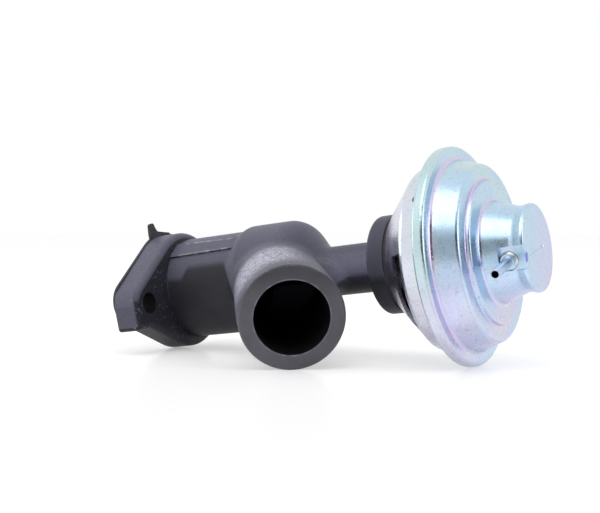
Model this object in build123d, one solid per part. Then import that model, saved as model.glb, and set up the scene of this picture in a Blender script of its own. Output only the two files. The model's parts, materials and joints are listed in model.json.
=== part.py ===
"""EGR valve: cast body with an inlet flange, an angled outlet tube and a stepped vacuum capsule.

Each piece is built about the valve stem, then the finished set is laid on the bench.
Valve frame: +X runs along the stem from the inlet face to the capsule, the outlet tube
leans out in the XY plane on the -Y side, and X = 0 is the machined inlet face.
Row frame: the valve at rest on its three support points, +Z up, origin on the bench
under the middle of the footprint. All lengths are in millimetres, angles in degrees.
"""
from build123d import *
from math import atan2, cos, degrees, hypot, pi, radians, sin, sqrt, tan
import os

os.makedirs("parts", exist_ok=True)

# ---------------------------------------------------------------- driving dimensions
# inlet flange
flange_thickness = 9.0
flange_hump_radius = 19.9
flange_offset = 3.25
flange_offset_angle = 13.8
bolt_spacing = 49.8
bolt_hole_diameter = 7.0
lobe_radius = 7.2
flange_roll = 9.7
flange_edge_radius = 2.0
toe_stand = 0.2
toe_drop = 7.9
toe_length = 7.0
toe_corner_radius = 1.4
toe_lean = 5.0

# inlet gasket
gasket_thickness = 1.0
gasket_hump_radius = 19.75
gasket_lobe_radius = 7.4
gasket_hole_diameter = 10.0
gasket_port_margin = 1.8
gasket_shift = 1.25
gasket_shift_angle = 135.0
tab_angle = 82.0
tab_reach = 25.1
tab_tip_width = 2.2
tab_root_width = 4.2
tab_shoulder_drop = 3.4
tab_flare_drop = 2.5
tab_flare_width = 9.0

# passage, chamber and neck
passage_radius = 17.2
passage_pad_angle = 67.6
passage_pad_root_width = 7.2
passage_pad_end_width = 5.6
passage_pad_height = 17.55
chamber_start = 33.5
chamber_full = 38.0
chamber_radius = 18.6
shoulder_x = 54.9
shoulder_slope = 52.0
shoulder_radius = 9.0
neck_radius = 8.2
neck_fillet = 5.0
collar_x = 84.6
collar_thickness = 5.8
collar_radius = 15.9
collar_edge = 0.9
parting_fin_width = 0.6
parting_fin_height = 0.3
parting_fin_inset = 0.7

# outlet tube
tube_meets_x = 42.0
tube_angle = 56.1
tube_reach = 51.4
tube_end_radius = 16.4
tube_root_radius = 15.4
tube_bore = 23.4
tube_edge = 0.5
tube_land = 7.5
tube_taper = 0.6
root_fillet = 4.5
root_fillet_share = 1.6

# passages inside the casting
inlet_bore = 25.0
seat_shelf_x = 28.0
shelf_bore = 22.6
chamber_bore_radius = 14.0
chamber_bore_start = 33.0
chamber_bore_end = 50.5
guide_pocket_x = 57.5
guide_pocket_radius = 6.4

# valve seat, poppet and stem
seat_length = 6.0
seat_throat = 18.0
seat_chamfer = 1.2
poppet_radius = 10.6
poppet_thickness = 2.4
poppet_cone = 3.0
poppet_hub = 2.0
poppet_hub_wall = 1.4
seat_gap = 0.3
stem_diameter = 6.0
valve_lift = 5.5

# guide, scraper and seal
guide_outer_diameter = 10.0
guide_start = 59.5
guide_end = 84.4
running_clearance = 0.04
scraper_length = 1.8
seal_pocket_radius = 7.4
seal_pocket_depth = 5.0
seal_length = 3.4
retainer_thickness = 1.2

# capsule mounting
insulator_thickness = 1.4
insulator_radius = 15.4
screw_circle_radius = 11.6
screw_count = 3
screw_first_angle = 60.0
screw_diameter = 5.0
screw_length = 6.4
screw_head_diameter = 8.2
screw_head_height = 2.8
screw_socket_diameter = 4.0
thread_clearance = 0.05
screw_drill_spare = 1.0

# lower housing of the capsule
sheet = 1.2
housing_base_radius = 16.9
housing_waist_height = 10.8
housing_waist_radius = 28.9
housing_top_radius = 29.7
housing_height = 18.2
housing_flange_width = 3.5
housing_flange_thickness = 1.0
stem_opening_radius = 7.0
window_count = 3
window_first_angle = -10.0
window_span = 66.0
window_inner_radius = 22.4
window_outer_radius = 28.2
vent_angle = 56.2
vent_drop = 2.5
vent_diameter = 3.0

# upper cover of the capsule
rim_wall = 1.2
rim_lip_drop = 1.0
rim_rise = 2.8
rim_lip_width = 1.6
rim_lip_edge = 0.9
rim_edge_radius = 1.1
rim_face_width = 4.2
drum_height = 8.1
drum_radius = 27.5
plateau_radius = 22.6
plateau_height = 1.4
tower_foot_radius = 16.1
tower_waist_drop = 3.9
tower_waist_radius = 13.15
tower_height = 12.9
tower_end_radius = 13.7
cover_sheet = 1.0

# pressed flat and vacuum nipple on the tower
flat_angle = 6.5
flat_width = 7.4
flat_length = 7.8
flat_distance = 12.6
nipple_drop = 5.2
nipple_angle = 3.0
nipple_stand = 13.4
nipple_inset = 1.1
nipple_outer_diameter = 3.0
nipple_spigot_diameter = 2.6
nipple_bore = 2.3
nipple_edge_radius = 0.25
ferrule_radius = 2.4
ferrule_height = 1.5
ferrule_step = 0.5

# centre mark and scribed line on the tower's end
punch_along = 4.9
punch_across = 0.65
punch_radius = 0.8
punch_depth = 0.35
scribe_start = -9.5
scribe_end = 3.6
scribe_lean = 11.7
scribe_width = 0.4
scribe_depth = 0.12
scribe_turn = -17.5

# diaphragm stack
diaphragm_thickness = 0.8
plate_radius = 19.5
plate_stand = 10.5
plate_sheet = 1.2
cup_hub_radius = 9.0
cup_wall_height = 3.2
shield_stand = 5.6
shield_radius = 13.0
shield_sheet = 0.8
stem_shoulder_radius = 4.6
stem_shoulder_length = 1.8
stem_thread_radius = 2.6
washer_radius = 7.0
washer_thickness = 0.9
nut_across_flats = 9.0
nut_height = 4.0

# return spring
spring_mean_radius = 10.3
spring_wire = 1.8
spring_turns = 6.0
spring_seat_thickness = 0.8
spring_seat_radius = 11.4

# ---------------------------------------------------------------- shared values
bore_radius = tube_bore / 2
stem_radius = stem_diameter / 2
collar_face_x = collar_x + collar_thickness
housing_base_x = collar_face_x + insulator_thickness
housing_waist_x = housing_base_x + housing_waist_height
housing_flange_x = housing_base_x + housing_height
vent_x = housing_flange_x - vent_drop
rim_lip_x = housing_flange_x - rim_lip_drop
rim_face_x = housing_flange_x + rim_rise
drum_face_x = rim_face_x + drum_height
plateau_x = drum_face_x + plateau_height
tower_end_x = plateau_x + tower_height
tower_waist_x = tower_end_x - tower_waist_drop
flat_start_x = tower_end_x - flat_length
nipple_x = tower_end_x - nipple_drop
plate_x = housing_base_x + plate_stand
shield_x = housing_base_x + shield_stand
toe_reach = bolt_spacing / 2 + lobe_radius + toe_stand
toe_inner = toe_reach - toe_length
housing_flange_radius = housing_top_radius + housing_flange_width
rim_radius = housing_flange_radius + rim_wall
rim_lip_inner_radius = housing_flange_radius - rim_lip_width
drum_foot_radius = rim_radius - rim_face_width
nipple_root = flat_distance - nipple_inset
nipple_reach = flat_distance + nipple_stand
tube_axis = Vector(cos(radians(tube_angle)), -sin(radians(tube_angle)), 0)
tube_root = Vector(tube_meets_x, 0, 0)
tube_core_radius = tube_root_radius - tube_taper
tube_land_start = tube_reach - tube_edge - tube_land
tube_leaves = chamber_radius / sin(radians(tube_angle))
tube_spread = (tube_end_radius - tube_core_radius) * tube_leaves / tube_land_start
root_spare = chamber_radius - tube_core_radius - tube_spread
seat_x = seat_shelf_x - seat_length
diaphragm_x = plate_x + plate_sheet
cup_x = diaphragm_x + diaphragm_thickness
washer_x = cup_x + plate_sheet
nut_x = washer_x + washer_thickness
spring_start_x = cup_x + plate_sheet
spring_seat_x = tower_end_x - cover_sheet - spring_seat_thickness
clamp_x = housing_flange_x + housing_flange_thickness

pieces = {}


# ---------------------------------------------------------------- drawing helpers
def radial(angle, radius, x=0.0):
    """Point at a radius and angle about the stem: 0 faces -Y, 90 faces +Z."""
    return Vector(x, -radius * cos(radians(angle)), radius * sin(radians(angle)))


def radial_plane(angle, x, radius=0.0):
    """Plane whose normal points outwards at an angle about the stem."""
    return Plane(origin=radial(angle, radius, x), x_dir=(1, 0, 0), z_dir=radial(angle, 1.0))


def across(x):
    """Plane square to the stem, its x towards the outlet side and its y upwards."""
    return Plane(origin=(x, 0, 0), x_dir=(0, -1, 0), z_dir=(-1, 0, 0))


def rounded_path(corners):
    """Straight runs through (x, r, fillet) corners, each corner rounded by its own arc."""
    runs = []
    last = Vector(*corners[0][:2])
    for before, here, after in zip(corners, corners[1:], corners[2:]):
        centre = Vector(*here[:2])
        back = (Vector(*before[:2]) - centre).normalized()
        ahead = (Vector(*after[:2]) - centre).normalized()
        if here[2] > 0:
            half = radians(back.get_angle(ahead)) / 2
            reach = here[2] / tan(half)
            start = centre + back * reach
            finish = centre + ahead * reach
            bisector = (back + ahead).normalized()
            middle = centre + bisector * (here[2] / sin(half) - here[2])
            if (start - last).length > 1e-6:
                runs.append(Line(last, start))
            runs.append(ThreePointArc(start, middle, finish))
            last = finish
        else:
            runs.append(Line(last, centre))
            last = centre
    runs.append(Line(last, Vector(*corners[-1][:2])))
    return runs


def turned(corners):
    """Solid of revolution about the stem from a closed (x, r, fillet) outline."""
    runs = rounded_path(list(corners))
    first = Vector(*corners[0][:2])
    final = Vector(*corners[-1][:2])
    if (first - final).length > 1e-6:
        runs.append(Line(final, first))
    return revolve(make_face(Wire(runs)), axis=Axis.X)


def shifted_line(start, end, offset):
    """The line from start to end moved sideways to its right by an offset."""
    along = (end - start).normalized()
    side = Vector(along.Y, -along.X) * offset
    return start + side, end + side


def crossing(first, second):
    """Where two lines, each a pair of points, meet."""
    p = first[0]
    r = first[1] - first[0]
    q = second[0]
    s = second[1] - second[0]
    spread = r.X * s.Y - r.Y * s.X
    if abs(spread) < 1e-9:
        return second[0]
    step = ((q.X - p.X) * s.Y - (q.Y - p.Y) * s.X) / spread
    return p + r * step


def inner_skin(corners, offset):
    """Corners of the surface a sheet thickness to the right of an (x, r, fillet) path."""
    points = [Vector(*c[:2]) for c in corners]
    lines = [shifted_line(a, b, offset) for a, b in zip(points, points[1:])]
    skin = [(lines[0][0].X, lines[0][0].Y, 0.0)]
    for index in range(1, len(points) - 1):
        meet = crossing(lines[index - 1], lines[index])
        into = points[index] - points[index - 1]
        away = points[index + 1] - points[index]
        turn = into.X * away.Y - into.Y * away.X
        radius = corners[index][2] + (offset if turn > 0 else -offset)
        skin.append((meet.X, meet.Y, max(radius, 0.0) if corners[index][2] > 0 else 0.0))
    skin.append((lines[-1][1].X, lines[-1][1].Y, 0.0))
    return skin


def pressed(corners, offset):
    """Sheet-metal turning: an outer path and the skin a sheet thickness inside it."""
    inner = inner_skin(corners, offset)
    outline = rounded_path(corners)
    outline += rounded_path(list(reversed(inner)))
    outline.append(Line(Vector(*corners[-1][:2]), Vector(*inner[-1][:2])))
    outline.append(Line(Vector(*inner[0][:2]), Vector(*corners[0][:2])))
    return revolve(make_face(Wire(outline)), axis=Axis.X)


def ring(x0, x1, outer, inner):
    """Plain ring about the stem."""
    body = Pos((x0 + x1) / 2, 0, 0) * Rot(0, 90, 0) * Cylinder(outer, x1 - x0)
    if inner > 0:
        body -= Pos((x0 + x1) / 2, 0, 0) * Rot(0, 90, 0) * Cylinder(inner, x1 - x0 + 2)
    return body


def rod(x0, x1, radius):
    """Plain bar along the stem."""
    return ring(x0, x1, radius, 0)


def rhombus(hump, lobe):
    """Two-bolt flange outline: a central disc blended by tangents to two lobes."""
    reach = bolt_spacing / 2
    lean = degrees(atan2(hump - lobe, sqrt(reach**2 - (hump - lobe) ** 2)))
    outline = Sketch() + Circle(hump)
    for side in (-1, 1):
        outline += Pos(side * reach, 0) * Circle(lobe)
    for side in (-1, 1):
        face = 0 if side > 0 else 180
        web = []
        for sign in (1, -1):
            tilt = radians(face + sign * (90 - lean))
            web.append(Vector(hump * cos(tilt), hump * sin(tilt)))
            web.append(Vector(side * reach + lobe * cos(tilt), lobe * sin(tilt)))
        outline += make_face(Polyline(web[0], web[1], web[3], web[2], close=True))
    return outline


# ---------------------------------------------------------------- cast valve body
def flange_frame(x):
    """Placing frame of the flange: its middle, with x along the line of the bolts."""
    middle = radial(flange_offset_angle, flange_offset, x)
    return Plane(origin=middle, x_dir=(0, -1, 0), z_dir=(-1, 0, 0)) * Rot(0, 0, flange_roll)


def flange_blank():
    """Inlet flange with a squared toe on its near lobe and a rounded inner edge."""
    outline = rhombus(flange_hump_radius, lobe_radius)
    lean = toe_length * tan(radians(toe_lean))
    toe = make_face(
        Polyline(
            (toe_inner, 0),
            (toe_inner, -toe_drop - lean),
            (toe_reach, -toe_drop),
            (toe_reach, 0),
            close=True,
        )
    )
    toe = fillet(toe.vertices().sort_by(Axis.X)[-2:].sort_by(Axis.Y)[0], toe_corner_radius)
    plate = extrude(outline + toe, -flange_thickness)
    rim = plate.faces().sort_by(Axis.Z)[0].outer_wire().edges()
    plate = fillet(rim, flange_edge_radius)
    return flange_frame(0) * plate


def body_skin():
    """Outer shape of passage, chamber, neck and collar, turned about the stem."""
    drop = (chamber_radius - neck_radius) / tan(radians(shoulder_slope))
    return turned(
        [
            (2.0, 0, 0),
            (2.0, passage_radius, 0),
            (chamber_start, passage_radius, 4.0),
            (chamber_full - 1.6, chamber_radius, 4.0),
            (shoulder_x, chamber_radius, shoulder_radius),
            (shoulder_x + drop, neck_radius, neck_fillet),
            (collar_x, neck_radius, 1.0),
            (collar_x, collar_radius, collar_edge),
            (collar_face_x, collar_radius, 0.3),
            (collar_face_x, 0, 0),
        ]
    )


def tube_skin():
    """Tapered outlet tube with a lightly broken outer edge at its end face."""
    plane = Plane(origin=tube_root, x_dir=(0, 0, 1), z_dir=tube_axis)
    outline = Polyline(
        (0, 0),
        (tube_core_radius, 0),
        (tube_end_radius, tube_land_start),
        (tube_end_radius, tube_reach - tube_edge),
        (tube_end_radius - tube_edge, tube_reach),
        (0, tube_reach),
        close=True,
    )
    profile = Plane(origin=(0, 0, 0), x_dir=(1, 0, 0), z_dir=(0, -1, 0)) * make_face(outline)
    return plane * revolve(profile, axis=Axis.Z)


def casting():
    """Valve body casting with its ports, seat shelf, guide bore and seal pocket."""
    skin = body_skin() + tube_skin()
    root = [
        edge
        for edge in skin.edges()
        if edge.geom_type not in (GeomType.CIRCLE, GeomType.LINE)
        and (edge.center() - tube_root).length < 40
    ]
    skin = fillet(root, min(root_fillet, root_fillet_share * root_spare))
    skin += flange_blank()

    pad_length = chamber_start - flange_thickness / 2
    root_half = passage_pad_root_width / 2
    end_half = passage_pad_end_width / 2
    pad = make_face(
        Polyline(
            (0, -root_half),
            (pad_length, -end_half),
            (pad_length, end_half),
            (0, root_half),
            close=True,
        )
    )
    pad += Pos(pad_length, 0) * Circle(end_half)
    skin += radial_plane(passage_pad_angle, flange_thickness / 2) * extrude(
        pad, passage_pad_height
    )

    for side in (0, 180):
        fin = Plane(origin=(0, 0, 0), x_dir=(1, 0, 0), z_dir=radial(side, 1.0))
        fin_start = shoulder_x + shoulder_radius
        fin_middle = (fin_start + collar_x) / 2
        long_fin = Pos(fin_middle, 0) * Rectangle(collar_x - fin_start, parting_fin_width)
        skin += fin * extrude(long_fin, neck_radius + parting_fin_height)
        short_fin = Pos((collar_x + collar_face_x) / 2, 0)
        short_length = collar_thickness - 2 * parting_fin_inset
        short_fin = short_fin * Rectangle(short_length, parting_fin_width)
        skin += fin * extrude(short_fin, collar_radius + parting_fin_height)

    cavity = turned(
        [
            (-1.0, 0, 0),
            (-1.0, inlet_bore / 2, 0),
            (seat_shelf_x, inlet_bore / 2, 0),
            (seat_shelf_x, shelf_bore / 2, 0),
            (chamber_bore_start - 1.5, shelf_bore / 2, 0),
            (chamber_bore_start, chamber_bore_radius, 0),
            (chamber_bore_end, chamber_bore_radius, 3.0),
            (guide_pocket_x, guide_pocket_radius, 0),
            (guide_start, guide_pocket_radius, 0),
            (guide_start, guide_outer_diameter / 2, 0),
            (guide_end, guide_outer_diameter / 2, 0),
            (guide_end, stem_radius + 0.6, 0),
            (collar_face_x - seal_pocket_depth, stem_radius + 0.6, 0),
            (collar_face_x - seal_pocket_depth, seal_pocket_radius, 0),
            (collar_face_x + 1, seal_pocket_radius, 0),
            (collar_face_x + 1, 0, 0),
        ]
    )
    port = Plane(origin=tube_root, z_dir=tube_axis) * Cylinder(
        bore_radius, tube_reach + 1, align=(Align.CENTER, Align.CENTER, Align.MIN)
    )
    body = skin - cavity - port

    for side in (-1, 1):
        hole = Pos(side * bolt_spacing / 2, 0) * Circle(bolt_hole_diameter / 2)
        hole = extrude(hole, -(flange_thickness + 2))
        body -= flange_frame(-1) * hole
    for index in range(screw_count):
        angle = screw_first_angle + index * 360 / screw_count
        depth = screw_length - insulator_thickness - sheet + screw_drill_spare
        centre = radial(angle, screw_circle_radius, collar_face_x - depth / 2)
        drill = Cylinder(screw_diameter / 2 + thread_clearance, depth)
        body -= Pos(centre) * Rot(0, 90, 0) * drill
    return body


pieces["valve_body"] = casting()


# ---------------------------------------------------------------- inlet gasket
def inlet_gasket():
    """Flat gasket that sits slightly high on its bolts, with a locating tab at the top."""
    shoulder = tab_reach - tab_shoulder_drop
    tab = make_face(
        Polyline(
            (0, -tab_root_width),
            (shoulder, -tab_root_width / 2),
            (tab_reach, -tab_tip_width / 2),
            (tab_reach, tab_tip_width / 2),
            (shoulder, tab_root_width / 2),
            (shoulder - tab_flare_drop, tab_flare_width),
            (0, tab_flare_width / 2),
            close=True,
        )
    )
    tip = tab.vertices().sort_by(Axis.X)[-2:]
    tab = fillet(tip, tab_tip_width * 0.4)
    root = [v for v in tab.vertices() if abs(v.X - shoulder) < 0.01 and v.Y > 0]
    tab = fillet(root, tab_tip_width)

    outline = rhombus(gasket_hump_radius, gasket_lobe_radius)
    for side in (-1, 1):
        outline -= Pos(side * bolt_spacing / 2, 0) * Circle(gasket_hole_diameter / 2)
    slip = radians(gasket_shift_angle)
    outline = Pos(gasket_shift * cos(slip), gasket_shift * sin(slip)) * outline
    outline += Rot(0, 0, tab_angle) * tab
    sheet_blank = flange_frame(0) * extrude(outline, gasket_thickness)
    port = ring(-2 * gasket_thickness, gasket_thickness, inlet_bore / 2 + gasket_port_margin, 0)
    return sheet_blank - port


pieces["inlet_gasket"] = inlet_gasket()


# ---------------------------------------------------------------- seat, poppet and stem
pieces["seat_ring"] = turned(
    [
        (seat_x, seat_throat / 2, 0.6),
        (seat_x, inlet_bore / 2, 0),
        (seat_shelf_x, inlet_bore / 2, 0),
        (seat_shelf_x, seat_throat / 2 + seat_chamfer, 0),
        (seat_shelf_x - seat_chamfer, seat_throat / 2, 0),
        (seat_x, seat_throat / 2, 0),
    ]
)

poppet_x = seat_shelf_x + seat_gap
hub_x = poppet_x + poppet_thickness + poppet_cone + poppet_hub
pieces["poppet"] = turned(
    [
        (poppet_x - seat_chamfer, 0, 0),
        (poppet_x - seat_chamfer, seat_throat / 2 - seat_gap / 2, 0),
        (poppet_x, seat_throat / 2 + seat_chamfer - seat_gap / 2, 0),
        (poppet_x, poppet_radius, 0.3),
        (poppet_x + poppet_thickness, poppet_radius, 0.5),
        (poppet_x + poppet_thickness + poppet_cone, stem_radius + poppet_hub_wall, 2.0),
        (hub_x, stem_radius + poppet_hub_wall, 0.4),
        (hub_x, stem_radius, 0),
        (poppet_x + 0.8, stem_radius, 0),
        (poppet_x + 0.8, 0, 0),
    ]
)

stem_top = nut_x + nut_height + 1.2
shoulder_start = plate_x - stem_shoulder_length
pieces["valve_stem"] = turned(
    [
        (poppet_x + 0.8, 0, 0),
        (poppet_x + 0.8, stem_radius, 0),
        (shield_x, stem_radius, 0),
        (shield_x, stem_radius - 0.3, 0),
        (shield_x + shield_sheet, stem_radius - 0.3, 0),
        (shield_x + shield_sheet, stem_radius, 0),
        (shoulder_start, stem_radius, 0),
        (shoulder_start, stem_shoulder_radius, 0.3),
        (plate_x, stem_shoulder_radius, 0),
        (plate_x, stem_thread_radius, 0),
        (stem_top, stem_thread_radius, 0.6),
        (stem_top, 0, 0),
    ]
)


# ---------------------------------------------------------------- guide, scraper and seals
pieces["guide_bush"] = turned(
    [
        (guide_start + scraper_length, stem_radius + running_clearance, 0),
        (guide_start + scraper_length, guide_outer_diameter / 2, 0),
        (guide_end, guide_outer_diameter / 2, 0),
        (guide_end, stem_radius + running_clearance, 0),
        (guide_start + scraper_length, stem_radius + running_clearance, 0),
    ]
)
pieces["carbon_scraper"] = turned(
    [
        (guide_start, stem_radius + running_clearance, 0),
        (guide_start, guide_outer_diameter / 2 - 1.2, 0),
        (guide_start + 1.0, guide_outer_diameter / 2, 0),
        (guide_start + scraper_length, guide_outer_diameter / 2, 0),
        (guide_start + scraper_length, stem_radius + running_clearance, 0),
        (guide_start, stem_radius + running_clearance, 0),
    ]
)
seal_x = collar_face_x - seal_pocket_depth
pieces["stem_seal"] = ring(
    seal_x, seal_x + seal_length, seal_pocket_radius, stem_radius + running_clearance
)
pieces["seal_retainer"] = ring(
    seal_x + seal_length,
    seal_x + seal_length + retainer_thickness,
    seal_pocket_radius,
    stem_radius + 0.5,
)


# ---------------------------------------------------------------- capsule mounting
def insulator():
    """Heat-insulating ring between the collar and the capsule."""
    body = ring(collar_face_x, collar_face_x + insulator_thickness, insulator_radius, 7.6)
    for index in range(screw_count):
        angle = screw_first_angle + index * 360 / screw_count
        hole = Cylinder(screw_diameter / 2 + 0.3, 6)
        body -= Pos(radial(angle, screw_circle_radius, collar_face_x)) * Rot(0, 90, 0) * hole
    return body


pieces["insulating_gasket"] = insulator()


def capsule_screw(angle):
    """Socket-head screw that holds the lower housing to the collar."""
    head_x = housing_base_x + sheet
    outline = [
        (head_x - screw_length, 0, 0),
        (head_x - screw_length, screw_diameter / 2 - 0.5, 0),
        (head_x - screw_length + 0.5, screw_diameter / 2, 0),
        (head_x, screw_diameter / 2, 0),
        (head_x, screw_head_diameter / 2, 0.3),
        (head_x + screw_head_height, screw_head_diameter / 2, 0.8),
        (head_x + screw_head_height, 0, 0),
    ]
    socket = RegularPolygon(screw_socket_diameter / 2, 6)
    socket = across(head_x + screw_head_height) * extrude(socket, screw_head_height * 0.55)
    return Pos(radial(angle, screw_circle_radius)) * (turned(outline) - socket)


for index in range(screw_count):
    angle = screw_first_angle + index * 360 / screw_count
    pieces[f"capsule_screw_{index + 1}"] = capsule_screw(angle)


# ---------------------------------------------------------------- lower housing
def window_cutter(centre_angle):
    """Ring segment that opens one ventilation window in the sloping wall."""
    run = housing_waist_x - housing_base_x
    rise = housing_waist_radius - housing_base_radius
    along = Vector(run, rise).normalized()
    square = Vector(-along.Y, along.X) * 4.0
    low = Vector(housing_base_x, housing_base_radius)
    low = low + along * ((window_inner_radius - housing_base_radius) / along.Y)
    high = low + along * ((window_outer_radius - window_inner_radius) / along.Y)
    corners = [low - square, high - square, high + square, low + square]
    section = make_face(Polyline([(c.X, -c.Y) for c in corners], close=True))
    start = Rot(window_span / 2 - centre_angle, 0, 0)
    return start * revolve(section, axis=Axis.X, revolution_arc=-window_span)


def lower_housing():
    """Pressed cup: flat base, windowed cone, short wall and clamped flange."""
    cup = pressed(
        [
            (housing_base_x, stem_opening_radius, 0),
            (housing_base_x, housing_base_radius, 1.8),
            (housing_waist_x, housing_waist_radius, 2.2),
            (housing_flange_x, housing_top_radius, 1.6),
            (housing_flange_x, housing_flange_radius, 0),
        ],
        sheet,
    )
    cup &= ring(housing_base_x - 1, housing_flange_x + housing_flange_thickness, 40, 0)
    for index in range(window_count):
        cup -= window_cutter(window_first_angle + index * 360 / window_count)
    for index in range(screw_count):
        angle = screw_first_angle + index * 360 / screw_count
        hole = Cylinder(screw_diameter / 2 + 0.2, 6)
        cup -= Pos(radial(angle, screw_circle_radius, housing_base_x)) * Rot(0, 90, 0) * hole
    vent = Cylinder(vent_diameter / 2, 8)
    cup -= radial_plane(vent_angle, vent_x, housing_top_radius) * vent
    return cup


pieces["lower_housing"] = lower_housing()


# ---------------------------------------------------------------- upper cover
def cover_path():
    """Outer profile of the stepped cover from the rim to the centre of its end."""
    return [
        (rim_face_x, rim_radius, rim_edge_radius),
        (rim_face_x, drum_foot_radius, 1.3),
        (drum_face_x, drum_radius, 1.3),
        (drum_face_x, plateau_radius, 0.5),
        (plateau_x, plateau_radius - 0.4, 0.7),
        (plateau_x, tower_foot_radius, 1.3),
        (tower_waist_x, tower_waist_radius, 3.0),
        (tower_end_x - 1.0, tower_end_radius, 0.5),
        (tower_end_x, tower_end_radius - 0.3, 0.5),
    ]


def solid_inside(path, start_x):
    """Full solid under an outer path, closed down to the stem axis."""
    corners = [(start_x, 0, 0), (start_x, path[0][1], 0)]
    corners += path
    corners.append((path[-1][0], 0, 0))
    return turned(corners)


def flat_cutter(distance, spare):
    """Block that presses a flat into the tower wall from outside."""
    length = tower_end_x + 2 * cover_sheet - flat_start_x + spare
    height = rim_radius - distance
    block = Pos(length / 2, 0, height / 2) * Box(length, flat_width + 2 * spare, height)
    return radial_plane(flat_angle, flat_start_x - spare, distance) * block


def end_marks():
    """Centre punch dimple and the scribed line that leads to it on the tower's end."""
    face = Plane(origin=(tower_end_x, 0, 0), x_dir=(0, 1, 0), z_dir=(1, 0, 0))
    bowl = (punch_radius**2 + punch_depth**2) / (2 * punch_depth)
    marks = Pos(punch_along, punch_across, bowl - punch_depth) * Sphere(bowl)
    length = scribe_end - scribe_start
    line = Box(length, scribe_width, 2 * scribe_depth)
    middle = (scribe_start + scribe_end) / 2
    rise = (middle - punch_along) * tan(radians(scribe_lean))
    marks += Pos(middle, punch_across + rise, 0) * Rot(0, 0, scribe_lean) * line
    return Rot(scribe_turn, 0, 0) * (face * marks)


def upper_cover():
    """Stepped drum and spring tower, with its edge rolled over the lower housing flange."""
    path = cover_path()
    outer = solid_inside(path, rim_lip_x) - flat_cutter(flat_distance, 0.0)
    outer = fillet(
        outer.edges().filter_by(GeomType.CIRCLE).sort_by(Axis.X)[0:1], rim_lip_edge
    )
    hollow = [
        (clamp_x + diaphragm_thickness, 0, 0),
        (clamp_x + diaphragm_thickness, drum_foot_radius - cover_sheet, 0.8),
        (drum_face_x - cover_sheet, drum_radius - cover_sheet, 0.6),
        (drum_face_x - cover_sheet, plateau_radius - 1.2, 0.4),
        (plateau_x - cover_sheet, plateau_radius - 1.6, 0.3),
        (plateau_x - cover_sheet, tower_foot_radius - cover_sheet, 0.6),
        (tower_waist_x, tower_waist_radius - cover_sheet, 2.0),
        (tower_end_x - cover_sheet, tower_waist_radius - cover_sheet + 0.2, 0.3),
        (tower_end_x - cover_sheet, 0, 0),
    ]
    inside = turned(hollow) - flat_cutter(flat_distance - cover_sheet, cover_sheet)
    groove = ring(
        housing_flange_x, clamp_x + diaphragm_thickness, housing_flange_radius, 0
    )
    mouth = ring(rim_lip_x - 1, housing_flange_x, rim_lip_inner_radius, 0)
    shell = outer - inside - groove - mouth
    hole = Cylinder(nipple_spigot_diameter / 2, 4 * cover_sheet)
    shell -= radial_plane(nipple_angle, nipple_x, flat_distance) * hole
    return shell - end_marks()


pieces["upper_cover"] = upper_cover()


# ---------------------------------------------------------------- vacuum nipple
def ferrule_seat():
    """Height about the stem at which the ferrule's lower edge clears the flat."""
    lean = radians(nipple_angle - flat_angle)
    return flat_distance / cos(lean) + ferrule_radius * abs(tan(lean))


def nipple():
    """Thin tube through the tower wall, its mouth edge lightly rounded."""
    length = nipple_reach - nipple_root
    spigot = ferrule_seat() + ferrule_height - nipple_root
    upright = (Align.CENTER, Align.CENTER, Align.MIN)
    tube = Pos(0, 0, spigot) * Cylinder(nipple_outer_diameter / 2, length - spigot, align=upright)
    tube = fillet(tube.edges().sort_by(Axis.Z)[-1], nipple_edge_radius)
    tube += Cylinder(nipple_spigot_diameter / 2, spigot, align=upright)
    tube -= Cylinder(nipple_bore / 2, length * 3)
    return radial_plane(nipple_angle, nipple_x, nipple_root) * tube


def ferrule():
    """Brazed collar round the nipple root, stepped once."""
    base = Cylinder(
        ferrule_radius, ferrule_height * 0.6, align=(Align.CENTER, Align.CENTER, Align.MIN)
    )
    upper = Cylinder(
        ferrule_radius - ferrule_step, ferrule_height, align=(Align.CENTER, Align.CENTER, Align.MIN)
    )
    body = base + upper
    top_edges = body.edges().filter_by(GeomType.CIRCLE).sort_by(Axis.Z)[-1]
    body = fillet(top_edges, 0.3)
    body -= Cylinder(nipple_spigot_diameter / 2, ferrule_height * 4)
    return radial_plane(nipple_angle, nipple_x, ferrule_seat()) * body


pieces["vacuum_nipple"] = nipple()
pieces["nipple_ferrule"] = ferrule()


# ---------------------------------------------------------------- diaphragm stack
pieces["diaphragm"] = pressed(
    [
        (diaphragm_x, stem_thread_radius + 0.1, 0),
        (diaphragm_x, plate_radius + 1.4, 1.5),
        (clamp_x - 1.5, plate_radius + 3.0, 1.4),
        (clamp_x + 2.6, plate_radius + 4.6, 1.6),
        (clamp_x, drum_foot_radius - 3.6, 1.5),
        (clamp_x, housing_flange_radius - 0.2, 0),
    ],
    diaphragm_thickness,
)
pieces["lower_plate"] = pressed(
    [
        (plate_x - 1.8, plate_radius, 0),
        (plate_x, plate_radius - 0.8, 1.6),
        (plate_x, stem_thread_radius + 0.1, 0),
    ],
    -plate_sheet,
)
pieces["spring_cup"] = pressed(
    [
        (cup_x, stem_thread_radius + 0.1, 0),
        (cup_x, spring_mean_radius + spring_wire / 2 + 1.9, 1.9),
        (cup_x + cup_wall_height, spring_mean_radius + spring_wire / 2 + 2.6, 0),
    ],
    plate_sheet,
)
pieces["stem_washer"] = ring(
    washer_x, washer_x + washer_thickness, washer_radius, stem_thread_radius + 0.1
)


def stem_nut():
    """Hexagon nut that clamps the diaphragm stack on the stem."""
    blank = RegularPolygon(nut_across_flats / 2, 6, major_radius=False)
    blank -= Circle(stem_thread_radius + thread_clearance)
    body = extrude(blank, nut_height)
    body = chamfer(body.faces().sort_by(Axis.Z)[-1].outer_wire().edges(), 0.4)
    return Plane(origin=(nut_x, 0, 0), x_dir=(0, 0, 1), z_dir=(1, 0, 0)) * body


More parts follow.
